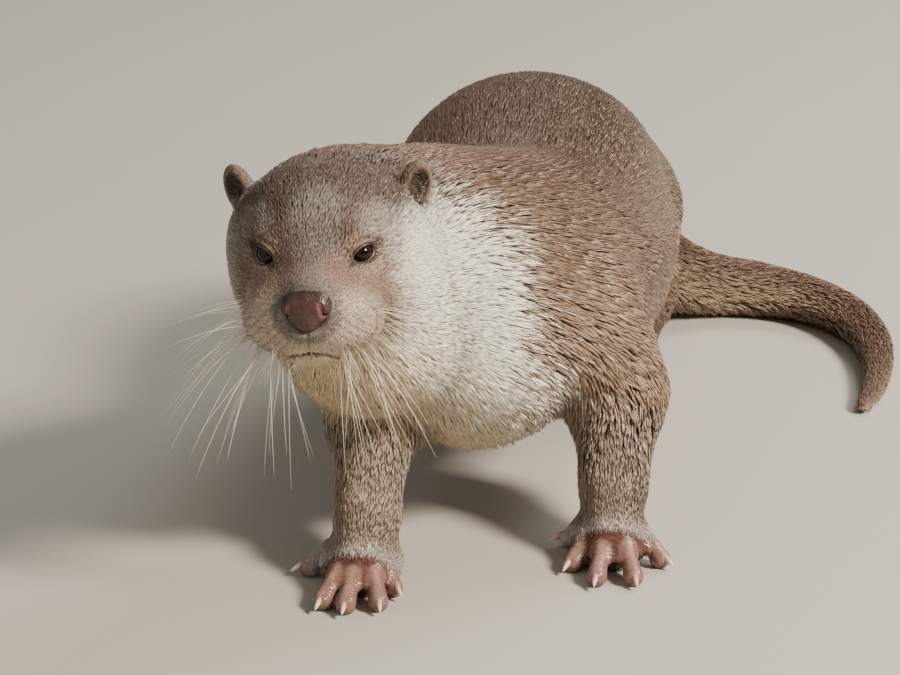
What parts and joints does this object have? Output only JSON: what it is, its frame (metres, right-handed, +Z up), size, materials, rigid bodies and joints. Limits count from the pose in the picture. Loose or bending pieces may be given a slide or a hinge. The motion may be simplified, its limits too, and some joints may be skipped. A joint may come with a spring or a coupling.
{
  "type": "river otter",
  "caption": "Life-size still model of a river otter standing on all fours with arched back, head turned a little, and tail curled forward on the floor.",
  "frame": {"origin": "on the floor, below the middle of the animal's length and width", "axes": "+Z up from the floor, +Y from the nose towards the tail, +X to the animal's left"},
  "size_m": [0.3362, 0.571, 0.2171],
  "materials": {
    "brown_coat": "short dense fur, damp and brown with a grey cast on the head",
    "pale_coat": "short dense fur, cream on throat and sides of the neck",
    "paw_skin": "thin short hair over pink-brown skin, with webs between the toes",
    "nose_skin": "moist, finely pebbled, dark red-brown",
    "eye": "wet dark brown",
    "claw_horn": "pale pinkish horn"
  },
  "bodies": {
    "root": {"chest": "brown_coat", "head": "brown_coat", "jaw": "pale_coat", "left_ear": "brown_coat", "left_eye": "eye", "left_forearm": "brown_coat", "left_forepaw": "paw_skin", "left_forepaw_claw_1": "claw_horn", "left_forepaw_claw_2": "claw_horn", "left_forepaw_claw_3": "claw_horn", "left_forepaw_claw_4": "claw_horn", "left_forepaw_claw_5": "claw_horn", "left_hindpaw": "paw_skin", "left_hindpaw_claw_1": "claw_horn", "left_hindpaw_claw_2": "claw_horn", "left_hindpaw_claw_3": "claw_horn", "left_hindpaw_claw_4": "claw_horn", "left_hindpaw_claw_5": "claw_horn", "left_shank": "brown_coat", "left_thigh": "brown_coat", "left_upper_arm": "brown_coat", "loin": "brown_coat", "neck": "pale_coat", "nose": "nose_skin", "right_ear": "brown_coat", "right_eye": "eye", "right_forearm": "brown_coat", "right_forepaw": "paw_skin", "right_forepaw_claw_1": "claw_horn", "right_forepaw_claw_2": "claw_horn", "right_forepaw_claw_3": "claw_horn", "right_forepaw_claw_4": "claw_horn", "right_forepaw_claw_5": "claw_horn", "right_hindpaw": "paw_skin", "right_hindpaw_claw_1": "claw_horn", "right_hindpaw_claw_2": "claw_horn", "right_hindpaw_claw_3": "claw_horn", "right_hindpaw_claw_4": "claw_horn", "right_hindpaw_claw_5": "claw_horn", "right_shank": "brown_coat", "right_thigh": "brown_coat", "right_upper_arm": "brown_coat", "rump": "brown_coat", "tail_base": "brown_coat", "tail_middle": "brown_coat", "tail_tip": "brown_coat"}
  },
  "joints": []
}
